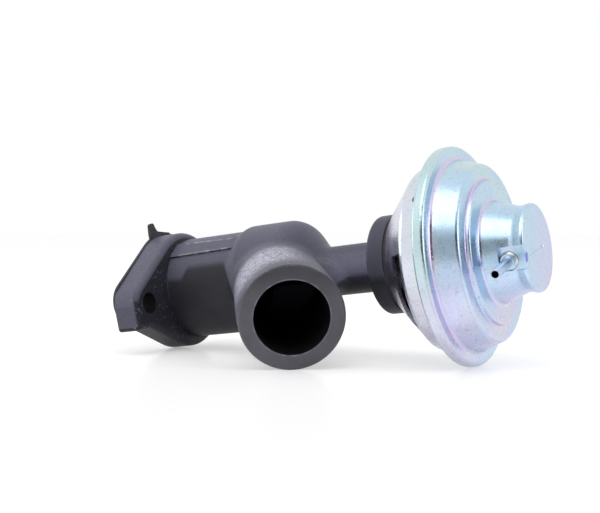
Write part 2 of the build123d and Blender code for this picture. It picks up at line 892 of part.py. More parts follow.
pieces["stem_nut"] = stem_nut()
pieces["stem_shield"] = pressed(
    [
        (shield_x, stem_radius - 0.25, 0),
        (shield_x, shield_radius - 2.5, 1.6),
        (shield_x + 1.6, shield_radius, 0),
    ],
    shield_sheet,
)


# ---------------------------------------------------------------- return spring
def return_spring():
    """Coil spring between the cup and the seat at the tower end."""
    low = spring_start_x + spring_wire / 2 + 0.02
    high = spring_seat_x - spring_wire / 2 - 0.02
    coil = Helix(pitch=(high - low) / spring_turns, height=high - low, radius=spring_mean_radius)
    section = Plane(origin=coil @ 0, z_dir=coil % 0) * Circle(spring_wire / 2)
    body = sweep(section, path=coil)
    return Plane(origin=(low, 0, 0), x_dir=(0, 0, 1), z_dir=(1, 0, 0)) * body


pieces["return_spring"] = return_spring()
pieces["spring_seat"] = turned(
    [
        (spring_seat_x, 4.0, 0),
        (spring_seat_x, spring_seat_radius, 0),
        (spring_seat_x + spring_seat_thickness, spring_seat_radius, 0),
        (spring_seat_x + spring_seat_thickness, 4.0, 0),
        (spring_seat_x, 4.0, 0),
    ]
)


# ---------------------------------------------------------------- laying on the bench
def contact(centre, axis, radius, up):
    """Lowest point of a circular edge seen along an up direction."""
    flat = up - axis * up.dot(axis)
    return centre - flat.normalized() * radius


def bench_plane():
    """Plane through the lowest points of flange, outlet end and capsule rim."""
    stem = Vector(1, 0, 0)
    supports = [
        (radial(flange_offset_angle, flange_offset), stem, flange_hump_radius),
        (tube_root + tube_axis * (tube_reach - tube_edge), tube_axis, tube_end_radius),
        (Vector(rim_lip_x + rim_lip_edge, 0, 0), stem, rim_radius),
    ]
    up = Vector(0, 0, 1)
    for _ in range(60):
        low = [contact(*support, up) for support in supports]
        up = (low[1] - low[0]).cross(low[2] - low[0]).normalized()
        if up.Z < 0:
            up = up * -1
    along = (stem - up * stem.dot(up)).normalized()
    return Plane(origin=low[0], x_dir=along, z_dir=up)


bench = bench_plane()
laid = {name: bench.to_local_coords(shape) for name, shape in pieces.items()}
boxes = [shape.bounding_box() for shape in laid.values()]
middle_x = (min(box.min.X for box in boxes) + max(box.max.X for box in boxes)) / 2
middle_y = (min(box.min.Y for box in boxes) + max(box.max.Y for box in boxes)) / 2
for name, shape in laid.items():
    placed = Pos(-middle_x, -middle_y, 0) * shape
    export_step(placed, f"parts/{name}.step")
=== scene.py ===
"""Looks of the EGR valve: coated casting, passivated capsule, gaskets, stem parts and stage."""

import json
import math

import bmesh
import bpy
from bpy.props import FloatProperty, FloatVectorProperty, PointerProperty
from mathutils import Matrix, Vector


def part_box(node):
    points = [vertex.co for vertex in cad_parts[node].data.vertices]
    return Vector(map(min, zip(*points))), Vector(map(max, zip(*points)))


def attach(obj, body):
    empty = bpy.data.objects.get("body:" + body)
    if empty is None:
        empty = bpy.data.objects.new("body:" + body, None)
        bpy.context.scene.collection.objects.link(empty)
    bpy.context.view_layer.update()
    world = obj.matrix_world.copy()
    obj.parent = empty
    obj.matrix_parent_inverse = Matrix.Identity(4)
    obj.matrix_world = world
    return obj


bl_info = {
    "name": "EGR valve finishes",
    "version": (1, 0, 0),
    "blender": (4, 5, 0),
    "location": "View3D > Sidebar > EGR valve",
    "description": "Finishes and small details of a vacuum-operated EGR valve",
    "category": "Object",
}

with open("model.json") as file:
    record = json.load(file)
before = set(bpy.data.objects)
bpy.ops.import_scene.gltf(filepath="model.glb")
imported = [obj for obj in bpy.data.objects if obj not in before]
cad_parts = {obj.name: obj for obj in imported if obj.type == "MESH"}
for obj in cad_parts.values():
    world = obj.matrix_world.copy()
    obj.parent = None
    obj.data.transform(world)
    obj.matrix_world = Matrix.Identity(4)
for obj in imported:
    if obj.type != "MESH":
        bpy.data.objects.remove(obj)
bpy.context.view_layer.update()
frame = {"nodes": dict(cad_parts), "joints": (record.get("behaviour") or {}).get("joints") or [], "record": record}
NODES = frame["nodes"]
UP = Vector((0, 0, 1))

# axis of the stem, from the inlet to the capsule
STEM = Vector(frame["joints"][0]["axis"]).normalized()

# square to the stem: towards the outlet, and a quarter turn on from there, towards the top
OUTLET_SIDE = Vector((0.039637, -0.951412, -0.305356))
TOP_SIDE = Vector((-0.122472, -0.307917, 0.943497))

# direction from one flange bolt to the other, and each bolt's distance from their middle
BOLT_LINE = Vector((-0.0184, 0.9897, 0.1420)).normalized()
BOLT_REACH = 0.0249

# middle of the stem's washer, which is a point on the stem's axis
low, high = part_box("stem_washer")
WASHER = (low + high) / 2

# middle of the inlet gasket's box, from which the casting's zones count along the stem
low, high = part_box("inlet_gasket")
GASKET = (low + high) / 2


def round_stem(angle):
    """Direction square to the stem at an angle from the outlet side, by way of the top."""
    return OUTLET_SIDE * math.cos(angle) + TOP_SIDE * math.sin(angle)


def mount(name):
    """Place and outward axis of one of the record's mounts."""
    entry = next(m for m in frame["record"]["mounts"] if m["name"] == name)
    return Vector(entry["pos_m"]), Vector(entry["axis"]).normalized()


# ------------------------------------------------------------------ node-graph helper
class Finish:
    """A material under construction: its methods add nodes and return their output."""

    def __init__(self, name):
        self.material = bpy.data.materials.new(name)
        self.material.use_nodes = True
        self.tree = self.material.node_tree
        self.tree.nodes.clear()
        self.shader = self.node("ShaderNodeBsdfPrincipled")
        output = self.node("ShaderNodeOutputMaterial")
        self.tree.links.new(self.shader.outputs["BSDF"], output.inputs["Surface"])
        self.place = self.node("ShaderNodeTexCoord").outputs["Object"]

    def node(self, kind, **settings):
        """Adds a node and sets its attributes."""
        made = self.tree.nodes.new(kind)
        for key, value in settings.items():
            setattr(made, key, value)
        return made

    def feed(self, socket, value):
        """Links a socket to an output or sets its constant."""
        if isinstance(value, bpy.types.NodeSocket):
            self.tree.links.new(value, socket)
        else:
            socket.default_value = value

    def set(self, **inputs):
        """Sets or links the shader's sockets; underscores stand for spaces."""
        for key, value in inputs.items():
            self.feed(self.shader.inputs[key.replace("_", " ")], value)

    def math(self, operation, first, second=0.0, third=0.0):
        """Math node."""
        made = self.node("ShaderNodeMath", operation=operation)
        for socket, value in zip(made.inputs, (first, second, third)):
            self.feed(socket, value)
        return made.outputs[0]

    def product(self, first, *others):
        """All values multiplied with each other."""
        for value in others:
            first = self.math("MULTIPLY", first, value)
        return first

    def most(self, first, *others):
        """The largest of the values."""
        for value in others:
            first = self.math("MAXIMUM", first, value)
        return first

    def vector(self, operation, first, second=(0, 0, 0)):
        """Vector Math node."""
        made = self.node("ShaderNodeVectorMath", operation=operation)
        self.feed(made.inputs[0], first)
        self.feed(made.inputs[1], second)
        return made.outputs["Value" if operation in ("DOT_PRODUCT", "LENGTH") else "Vector"]

    def dot(self, first, second):
        """Dot product of two vectors."""
        return self.vector("DOT_PRODUCT", first, second)

    def noise(self, scale, detail=3.0, roughness=0.5, distortion=0.0):
        """Noise from 0 to 1; scale counts its features along a metre."""
        made = self.node("ShaderNodeTexNoise")
        self.feed(made.inputs["Vector"], self.place)
        self.feed(made.inputs["Scale"], scale)
        self.feed(made.inputs["Detail"], detail)
        self.feed(made.inputs["Roughness"], roughness)
        self.feed(made.inputs["Distortion"], distortion)
        return made.outputs["Fac"]

    def ramp(self, value, stops):
        """Colour ramp through (position, grey or colour) stops."""
        made = self.node("ShaderNodeValToRGB")
        band = made.color_ramp
        while len(band.elements) < len(stops):
            band.elements.new(0.5)
        for element, (position, colour) in zip(band.elements, stops):
            element.position = position
            if isinstance(colour, (int, float)):
                colour = (colour, colour, colour)
            element.color = (*colour, 1.0)
        self.feed(made.inputs["Fac"], value)
        return made.outputs["Color"]

    def blend(self, factor, first, second, how="MIX"):
        """Mix of two colours by a factor."""
        made = self.node("ShaderNodeMix", data_type="RGBA", blend_type=how)
        self.feed(made.inputs["Factor"], factor)
        for socket, colour in ((made.inputs[6], first), (made.inputs[7], second)):
            if not isinstance(colour, bpy.types.NodeSocket):
                colour = (*colour, 1.0)
            self.feed(socket, colour)
        return made.outputs[2]

    def bump(self, height, distance, strength):
        """Bump from a 0 to 1 height, distance in metres."""
        made = self.node("ShaderNodeBump")
        self.feed(made.inputs["Height"], height)
        self.feed(made.inputs["Distance"], distance)
        self.feed(made.inputs["Strength"], strength)
        return made.outputs["Normal"]

    def step(self, value, low, high):
        """Smooth step from 0 at low to 1 at high."""
        made = self.node("ShaderNodeMapRange", interpolation_type="SMOOTHSTEP")
        self.feed(made.inputs["Value"], value)
        self.feed(made.inputs["From Min"], low)
        self.feed(made.inputs["From Max"], high)
        return made.outputs["Result"]

    def band(self, value, centre, width):
        """1 where a value is at the centre, falling to 0 at a width to either side."""
        away = self.math("ABSOLUTE", self.math("SUBTRACT", value, centre))
        return self.step(away, width, 0.0)

    def along_axis(self, origin, axis):
        """Distance along an axis and radius about it."""
        offset = self.vector("SUBTRACT", self.place, origin)
        along = self.dot(offset, axis)
        span = self.vector("LENGTH", self.vector("CROSS_PRODUCT", offset, axis))
        return along, span


def wear(material, *names):
    """Gives CAD nodes one material."""
    for name in names:
        NODES[name].data.materials.clear()
        NODES[name].data.materials.append(material)


# ------------------------------------------------------------------ sizes and colours
class CastingSettings(bpy.types.PropertyGroup):
    colour: FloatVectorProperty(
        name="Coating colour", description="Colour of the black coating on the casting",
        subtype="COLOR", size=3, min=0, max=1, default=(0.027, 0.027, 0.036))
    # worn colour: chips and rubbed edges, and also painted light on upward faces, the neck's sides and the
    # flange's rim
    worn_and_lit_colour: FloatVectorProperty(
        name="Worn colour", description="Colour where the coating is rubbed thin or chipped",
        subtype="COLOR", size=3, min=0, max=1, default=(0.365, 0.36, 0.50))
    # bare colour: painted highlights on the shoulder and the pad's crests, with bare iron on the shoulder
    bare_and_highlight_colour: FloatVectorProperty(
        name="Bare colour", description="Colour of the blasted iron that shows on the shoulder",
        subtype="COLOR", size=3, min=0, max=1, default=(0.74, 0.75, 0.87))
    face_colour: FloatVectorProperty(
        name="Cut face colour", description="Colour of the outlet's cut and coated end face",
        subtype="COLOR", size=3, min=0, max=1, default=(0.142, 0.138, 0.156))
    # colour of the soot in the bores and of the painted shade in the bolt holes
    soot_and_shade_colour: FloatVectorProperty(
        name="Soot colour", description="Colour of the bores and bolt holes",
        subtype="COLOR", size=3, min=0, max=1, default=(0.011, 0.011, 0.012))
    grain: FloatProperty(
        name="Grain size", description="Size of the casting skin's grain",
        default=0.0007, min=0.0001, unit="LENGTH")
    # share of the worn colour painted as light on upward faces, the neck's sides and the flange's rim
    top_light_share: FloatProperty(
        name="Thin coating", description="Share of the worn colour where the coating is thin",
        default=0.42, min=0, max=1, subtype="FACTOR")
    # on upward faces the chips also stand as painted glints
    chip_and_glint_share: FloatProperty(
        name="Chips", description="Share of the worn colour in the chips",
        default=0.75, min=0, max=1, subtype="FACTOR")
    edge_wear: FloatProperty(
        name="Rubbed edges", description="Share of the worn colour on the tube's two edges",
        default=0.60, min=0, max=1, subtype="FACTOR")
    # share of the bare colour painted as highlights on the pad's crests
    pad_highlight_share: FloatProperty(
        name="Pad edges", description="Share of the bare colour on the edges of the pad",
        default=0.5, min=0, max=1, subtype="FACTOR")


class CapsuleSettings(bpy.types.PropertyGroup):
    colour: FloatVectorProperty(
        name="Plating colour", description="Colour of the blue passivated zinc",
        subtype="COLOR", size=3, min=0, max=1, default=(0.49, 0.66, 0.81))
    pale_colour: FloatVectorProperty(
        name="Pale plating", description="Paler, pinkish plating of the lower half",
        subtype="COLOR", size=3, min=0, max=1, default=(0.67, 0.71, 0.79))
    inner_colour: FloatVectorProperty(
        name="Inner plating", description="Duller plating of the plates round the spring",
        subtype="COLOR", size=3, min=0, max=1, default=(0.34, 0.37, 0.42))
    lilac: FloatVectorProperty(
        name="Lilac tint", description="Pink and lilac tint of the passivation",
        subtype="COLOR", size=3, min=0, max=1, default=(0.72, 0.50, 0.75))
    straw: FloatVectorProperty(
        name="Straw tint", description="Yellow-green tint of the passivation",
        subtype="COLOR", size=3, min=0, max=1, default=(0.56, 0.71, 0.66))
    # painted reflection of the dark casting on the plating near the collar
    painted_reflection_colour: FloatVectorProperty(
        name="Film colour", description="Colour of the dark film near the collar",
        subtype="COLOR", size=3, min=0, max=1, default=(0.20, 0.22, 0.26))


class MarkSettings(bpy.types.PropertyGroup):
    bead_radius: FloatProperty(
        name="Bead radius", description="Radius of the braze bead, that of the ferrule's foot",
        default=0.0024, min=0.001, unit="LENGTH")
    bead_size: FloatProperty(
        name="Bead size", description="Height of the braze bead",
        default=0.0004, min=0.0001, unit="LENGTH")
    bead_height: FloatProperty(
        name="Bead height", description="Height of the bead above the stem's axis",
        default=0.0131, min=0.005, unit="LENGTH")
    bead_colour: FloatVectorProperty(
        name="Bead colour", description="Colour of the plated braze",
        subtype="COLOR", size=3, min=0, max=1, default=(0.66, 0.68, 0.60))
    dab_angle: FloatProperty(
        name="Dab angle",
        description="Place of the paint dab round the stem, from the outlet side",
        default=math.radians(5.0), subtype="ANGLE")
    dab_radius: FloatProperty(
        name="Dab reach", description="Distance of the paint dab from the stem's axis",
        default=0.0117, min=0.0, unit="LENGTH")
    dab_along: FloatProperty(
        name="Dab height", description="Height of the end face above the stem's washer",
        default=0.02925, min=0.0, unit="LENGTH")
    dab_width: FloatProperty(
        name="Dab width", description="Width of the paint dab",
        default=0.0022, min=0.0005, unit="LENGTH")
    dab_height: FloatProperty(
        name="Dab length", description="Length of the paint dab",
        default=0.0032, min=0.0005, unit="LENGTH")
    dab_colour: FloatVectorProperty(
        name="Dab colour", description="Colour of the inspection paint",
        subtype="COLOR", size=3, min=0, max=1, default=(0.16, 0.26, 0.85))


class StageSettings(bpy.types.PropertyGroup):
    camera_place: FloatVectorProperty(
        name="Camera place", description="Where the camera stands",
        subtype="TRANSLATION", size=3, default=(0.185318, -0.342456, 0.046005))
    view_line: FloatVectorProperty(
        name="View line", description="Direction in which the camera looks",
        subtype="DIRECTION", size=3, default=(-0.49525, 0.86815, -0.03227))
    camera_roll: FloatProperty(
        name="Camera roll", description="Turn of the camera about its view line",
        default=math.radians(0.264), subtype="ANGLE")
    camera_lens: FloatProperty(
        name="Lens", description="Focal length on a 36 mm wide sensor, in millimetres",
        default=72.0, min=10)
    lamp_level: FloatProperty(
        name="Lamp level", description="Brightness of the overhead panel's surface",
        default=1.25, min=0)
    lamp_size: FloatProperty(
        name="Lamp size", description="Length of the overhead panel's sides",
        default=0.66, min=0.01, unit="LENGTH")
    side_level: FloatProperty(
        name="Side lamp level", description="Brightness of the two side panels' surface",
        default=1.6, min=0)
    side_size: FloatProperty(
        name="Side lamp size", description="Length of the side panels' sides",
        default=0.40, min=0.01, unit="LENGTH")
    sky_level: FloatProperty(
        name="Sky level", description="Strength of the soft light from all around",
        default=0.6, min=0)
    floor_gloss: FloatProperty(
        name="Floor gloss", description="Share of the floor's surface that reflects",
        default=0.18, min=0, max=1, subtype="FACTOR")
    floor_glow: FloatProperty(
        name="Floor glow", description="White added to the floor where it is seen",
        default=0.36, min=0)


# ------------------------------------------------------------------ zones of the finishes
# Each pair fades a zone in from its first value to its second. Lengths are in metres.
# Along the stem, counted from GASKET:
FLANGE_RIM = (0.0105, 0.0085)
FLANGE_LOBE = (0.012, 0.008)
FLANGE_HOLES = (0.016, 0.014)
FLANGE_SIDE = (0.0185, 0.0150)
PAD_START = (0.0125, 0.0145)
PAD_END = (0.0340, 0.0310)
PASSAGE_END = (0.0370, 0.0320)
INLET_DEPTH = (0.046, 0.044)
CROWN_START = (0.058, 0.064)
NECK_START = (0.062, 0.068)
NECK_END = (0.086, 0.084)
COLLAR_START = (0.082, 0.088)

# Along the outlet tube, counted from its mount:
END_FACE = 0.00375
CUT_START = (END_FACE - 0.0001, END_FACE + 0.00005)
OUTLET_DEPTH = (-0.052, -0.048)
SHOULDER_START = (-0.031, -0.020)
SHOULDER_END = (END_FACE - 0.0005, -0.010)

# Out from the axis of the tube, the inlet, a bolt hole or the stem:
MOUTH_RADIUS = 0.0118
OUTLET_WALL = (0.01200, 0.01180)
INLET_WALL = (0.0140, 0.0136)
HOLE_WALL = (0.00362, 0.00352)
SHOULDER_SPAN = (0.0220, 0.0180)
LIP_SPAN = (0.0154, 0.0160)
PAD_LEVEL = (0.0160, 0.0168)

# Upwards from the axis of the tube, on its end face:
SHADED_TOP = (0.004, 0.014)

# By how far a face looks up, from -1 to 1:
TOPS = (0.2, 0.95)
CHIPPED_TOPS = (0.3, 0.8)
CROWN_TOPS = (0.55, 0.90)
NECK_SIDES = (-0.60, -0.10)
NECK_NOT_TOP = (0.9, 0.1)
RIM_SIDES = (-0.35, -0.05)

# By how far a face looks along the stem, and towards the side of the shoulder's painted highlight:
ROUND_STEM = (0.6, 0.2)
HIGHLIGHT_FACING = (0.45, 0.95)
HIGHLIGHT_SIDE = Vector((-0.50, -0.25, 0.83)).normalized()

# How far a face has to look up for painted top light, and how much further it has to
# on the passage and beside the flange
LIGHT_FROM = -0.30
PASSAGE_MORE = 0.62
FLANGE_MORE = 0.40

# The painted top light: how softly it starts, what TOPS add, its share on the flange's rim, and how
# much less of it there is on the collar and on the crown over the chamber
LIGHT_FADE = 0.16
TOP_SHARE = 0.28
RIM_SHARE = 0.95
COLLAR_LESS = 0.40
CROWN_LESS = 0.30

# Soot in the inlet's bore against the outlet's, and the shade on the end face's upper part
INLET_SHARE = 0.9
TOP_SHADE = (0.52, 0.52, 0.52)

# The pad on the passage: its angle round the stem, its half width at GASKET and its taper
PAD_ANGLE = math.radians(67.6)
PAD_HALF_WIDTH = 0.0036
PAD_TAPER = -0.0276

# The capsule about the stem: radius and half width of its lilac lines and how far they
# wander, the tinted lip, and the painted reflection of the dark casting near the collar, counted
# along the stem from WASHER
TINT_LINES = ((0.0305, 0.0012), (0.0228, 0.0007), (0.0164, 0.0009))
LINE_WANDER = 0.0012
LINE_SHARE = 0.9
LIP_TINT = (0.0325, 0.0338)
LIP_SHARE = 0.6
REFLECTION_START = (-0.0070, -0.0125)

# Pitch of the lathe's lines and of the diaphragm's cloth, and the soot on seat and disc
LATHE_PITCH = 0.00022
CLOTH_PITCH = 0.0005
SEAT_SOOT = (0.018, 0.017, 0.016)


# ------------------------------------------------------------------ finishes
class EGR_OT_casting(bpy.types.Operator):
    """Black coating with a cast grain on the valve body, rubbed along its edges, with painted light and shade"""

    bl_idname = "egr.casting"
    bl_label = "Coat the casting"

    def execute(self, context):
        settings = context.scene.egr_casting
        coat = Finish("cast_black")
        fine = coat.noise(1 / settings.grain, 5.0, 0.65)
        coarse = coat.noise(0.16 / settings.grain, 3.0, 0.5)
        skin = coat.math("MULTIPLY_ADD", coarse, 0.6, coat.product(fine, 0.5))
        facing = coat.node("ShaderNodeTexCoord").outputs["Normal"]
        up = coat.dot(facing, UP)
        along = coat.along_axis(GASKET, STEM)[0]
        reach, spread = coat.along_axis(*mount("outlet_tube"))
        face = coat.step(reach, *CUT_START)
        # soot in the bores, and painted shade in the bolt holes
        soot = self.soot(coat, along, reach, spread, face)
        outside = coat.math("SUBTRACT", 1.0, coat.most(soot, face))
        # painted top light, chips that are also painted glints, and rubbed tube edges, all in the worn colour
        worn = coat.most(
            coat.product(self.painted_top_light(coat, facing, up, along), settings.top_light_share, outside),
            coat.product(self.chips(coat, up, along), settings.chip_and_glint_share),
            coat.product(self.tube_edges(coat, reach, spread, face), settings.edge_wear),
        )
        # painted highlights on the shoulder, with its bare speckles, and on the pad's crests
        bare = coat.most(
            self.shoulder(coat, facing, reach, spread),
            coat.product(self.pad_highlights(coat, along), settings.pad_highlight_share),
        )
        tone = coat.ramp(coat.noise(85.0, 4.0, 0.55), [(0.3, 0.80), (0.7, 1.20)])
        colour = coat.blend(1.0, settings.colour, tone, "MULTIPLY")
        colour = coat.blend(face, colour, self.cut_face(coat, settings.face_colour))
        colour = coat.blend(worn, colour, settings.worn_and_lit_colour)
        colour = coat.blend(bare, colour, settings.bare_and_highlight_colour)
        colour = coat.blend(soot, colour, settings.soot_and_shade_colour)
        coat.set(
            Base_Color=colour,
            Roughness=coat.ramp(fine, [(0.3, 0.40), (0.7, 0.56)]),
            Normal=coat.bump(skin, distance=0.00011, strength=0.7),
            Specular_IOR_Level=coat.math("MULTIPLY_ADD", soot, -0.17, 0.24),
        )
        wear(coat.material, "valve_body")
        return {"FINISHED"}

    def cut_face(self, coat, base):
        """Colour of the tube's end face: smeared below, darker above."""
        height = coat.dot(coat.vector("SUBTRACT", coat.place, mount("outlet_tube")[0]), UP)
        smear = coat.noise(70.0, 3.0, 0.6, distortion=0.6)
        smear = coat.ramp(smear, [(0.35, 0.86), (0.65, 1.12)])
        above = coat.step(height, *SHADED_TOP)
        smear = coat.blend(above, smear, TOP_SHADE, "MULTIPLY")
        return coat.blend(1.0, base, smear, "MULTIPLY")

    def soot(self, coat, along, reach, spread, face):
        """1 for soot in the outlet's bore and for painted shade in the bolt holes, a little less in the inlet's
        bore.
        """
        outlet = coat.product(
            coat.step(spread, *OUTLET_WALL),
            coat.step(face, 1.0, 0.0),
            coat.step(reach, *OUTLET_DEPTH),
        )
        radius = coat.along_axis(WASHER, STEM)[1]
        inlet = coat.product(
            coat.step(radius, *INLET_WALL), coat.step(along, *INLET_DEPTH), INLET_SHARE)
        return coat.most(outlet, inlet, self.bolt_hole_shade(coat, along))

    def bolt_hole_shade(self, coat, along):
        """1 inside the two bolt holes of the flange, whose dark is painted shade."""
        middle, axis = mount("inlet_bolts")
        offset = coat.vector("SUBTRACT", coat.place, middle)
        sideways = coat.math("ABSOLUTE", coat.dot(offset, BOLT_LINE))
        sideways = coat.math("SUBTRACT", sideways, BOLT_REACH)
        upwards = coat.dot(offset, axis.cross(BOLT_LINE))
        square = coat.math(
            "ADD", coat.product(sideways, sideways), coat.product(upwards, upwards))
        span = coat.math("SQRT", square)
        return coat.product(coat.step(span, *HOLE_WALL), coat.step(along, *FLANGE_HOLES))

    def painted_top_light(self, coat, facing, up, along):
        """Painted light in the worn colour on what looks up, on the neck's sides and on the flange's rim."""
        near = coat.step(along, *FLANGE_SIDE)
        passage = coat.math("SUBTRACT", coat.step(along, *PASSAGE_END), near)
        bound = coat.math("MULTIPLY_ADD", passage, PASSAGE_MORE, LIGHT_FROM)
        bound = coat.math("ADD", bound, coat.product(near, FLANGE_MORE))
        # thin holds the painted top light
        thin = coat.step(coat.math("SUBTRACT", up, bound), 0.0, LIGHT_FADE)
        thin = coat.product(thin, 1.0 - TOP_SHARE)
        thin = coat.math("ADD", thin, coat.product(coat.step(up, *TOPS), TOP_SHARE))
        neck = coat.product(
            coat.step(along, *NECK_START),
            coat.step(along, *NECK_END),
            coat.step(up, *NECK_SIDES),
            coat.step(up, *NECK_NOT_TOP),
        )
        thin = coat.math("ADD", thin, neck)
        level = coat.math("ABSOLUTE", coat.dot(facing, STEM))
        rim = coat.product(
            coat.step(along, *FLANGE_RIM),
            coat.step(level, *ROUND_STEM),
            coat.step(up, *RIM_SIDES),
            RIM_SHARE,
        )
        thin = coat.most(thin, rim)
        collar = coat.product(coat.step(along, *COLLAR_START), COLLAR_LESS)
        thin = coat.product(thin, coat.math("SUBTRACT", 1.0, collar))
        crown = coat.product(coat.step(along, *CROWN_START), coat.step(up, *CROWN_TOPS))
        thin = coat.product(thin, coat.math("MULTIPLY_ADD", crown, -CROWN_LESS, 1.0))
        grainy = coat.ramp(coat.noise(1900.0, 3.0, 0.7), [(0.36, 0.72), (0.66, 1.0)])
        return coat.product(thin, grainy)

    def chips(self, coat, up, along):
        """Chip specks in patches on the flange's lobe and, as painted glints too, on what looks up."""
        specks = coat.ramp(coat.noise(1500.0, 2.0, 0.5), [(0.61, 0.0), (0.68, 1.0)])
        patches = coat.ramp(coat.noise(130.0, 2.0, 0.5), [(0.49, 0.0), (0.60, 1.0)])
        where = coat.most(coat.step(up, *CHIPPED_TOPS), coat.step(along, *FLANGE_LOBE))
        return coat.product(specks, patches, where)

    def tube_edges(self, coat, reach, spread, face):
        """Ragged lines on the outer and the inner edge of the tube's end."""
        lip = coat.product(
            coat.band(reach, END_FACE - 0.0003, 0.0008), coat.step(spread, *LIP_SPAN))
        mouth = coat.product(coat.band(spread, MOUTH_RADIUS, 0.0004), face)
        ragged = coat.ramp(coat.noise(420.0, 4.0, 0.7), [(0.42, 0.05), (0.62, 1.0)])
        return coat.product(coat.most(lip, mouth), ragged)

    def shoulder(self, coat, facing, reach, spread):
        """Painted highlight with bare speckles on the shoulder where the tube leaves the chamber."""
        speckle = coat.ramp(coat.noise(950.0, 4.0, 0.8), [(0.42, 0.16), (0.60, 1.0)])
        return coat.product(
            coat.step(reach, *SHOULDER_START),
            coat.step(reach, *SHOULDER_END),
            coat.step(coat.dot(facing, HIGHLIGHT_SIDE), *HIGHLIGHT_FACING),
            coat.step(spread, *SHOULDER_SPAN),
            speckle,
        )

    def pad_highlights(self, coat, along):
        """Painted highlights along the crests of both edges of the pad on the passage."""
        out = round_stem(PAD_ANGLE)
        offset = coat.vector("SUBTRACT", coat.place, WASHER)
        sideways = coat.math("ABSOLUTE", coat.dot(offset, STEM.cross(out)))
        half_width = coat.math("MULTIPLY_ADD", along, PAD_TAPER, PAD_HALF_WIDTH)
        away = coat.math("SUBTRACT", sideways, half_width)
        broken = coat.ramp(coat.noise(380.0, 3.0, 0.6), [(0.40, 0.15), (0.60, 1.0)])
        return coat.product(
            coat.band(away, -0.00025, 0.0006),
            coat.step(coat.dot(offset, out), *PAD_LEVEL),
            coat.step(along, *PAD_END),
            coat.step(along, *PAD_START),
            broken,
        )


class EGR_OT_capsule(bpy.types.Operator):
    """Blue passivated zinc with its rainbow tints on the pressed capsule"""

    bl_idname = "egr.capsule"
    bl_label = "Plate the capsule"

    def execute(self, context):
        settings = context.scene.egr_capsule
        cover = self.zinc("passivated_zinc", settings.colour, settings, roughness=0.29)
        wear(cover.material, "upper_cover", "vacuum_nipple", "nipple_ferrule")
        # film is the share of the painted reflection of the dark casting near the collar
        pale = self.zinc(
            "pale_zinc", settings.pale_colour, settings, roughness=0.28, film=0.55)
        wear(pale.material, "lower_housing")
        inner = self.zinc("inner_zinc", settings.inner_colour, settings, roughness=0.32)
        wear(inner.material, "lower_plate", "spring_cup", "spring_seat")
        return {"FINISHED"}

    def zinc(self, name, base, settings, roughness, film=0.0):
        """Zinc with tinted lines at the pressed steps, a crystal grain and perhaps a painted reflection."""
        zinc = Finish(name)
        along, radius = zinc.along_axis(WASHER, STEM)
        wander = zinc.math(
            "MULTIPLY_ADD", zinc.noise(70.0, 2.0, 0.5), LINE_WANDER, -LINE_WANDER / 2)
        bent = zinc.math("ADD", radius, wander)
        lines = zinc.most(*(zinc.band(bent, centre, width) for centre, width in TINT_LINES))
        strength = zinc.ramp(zinc.noise(45.0), [(0.40, 0.40), (0.60, 1.0)])
        cloud = zinc.noise(30.0, 3.0, 0.5, distortion=0.5)
        cloud = zinc.ramp(cloud, [(0.45, 0.0), (0.68, 0.40)])
        lilac = zinc.most(zinc.product(lines, strength, LINE_SHARE), cloud)
        straw = zinc.noise(42.0, 2.0, 0.5, distortion=0.4)
        straw = zinc.ramp(straw, [(0.50, 0.0), (0.68, 0.7)])
        lip = zinc.product(zinc.step(radius, *LIP_TINT), LIP_SHARE)
        dull = zinc.ramp(zinc.noise(900.0, 3.0, 0.7), [(0.56, 1.0), (0.72, 0.72)])
        colour = zinc.blend(zinc.most(straw, lip), base, settings.straw)
        colour = zinc.blend(lilac, colour, settings.lilac)
        colour = zinc.blend(1.0, colour, dull, "MULTIPLY")
        # film paints the reflection of the dark casting on the plating near the collar
        if film:
            where = zinc.product(zinc.step(along, *REFLECTION_START), film)
            colour = zinc.blend(where, colour, settings.painted_reflection_colour)
        rough = [(0.35, roughness - 0.04), (0.65, roughness + 0.04)]
        zinc.set(
            Base_Color=colour,
            Metallic=1.0,
            Roughness=zinc.ramp(zinc.noise(260.0, 3.0, 0.6), rough),
            Normal=zinc.bump(zinc.noise(2400.0, 3.0, 0.7), distance=0.00002, strength=0.8),
        )
        return zinc


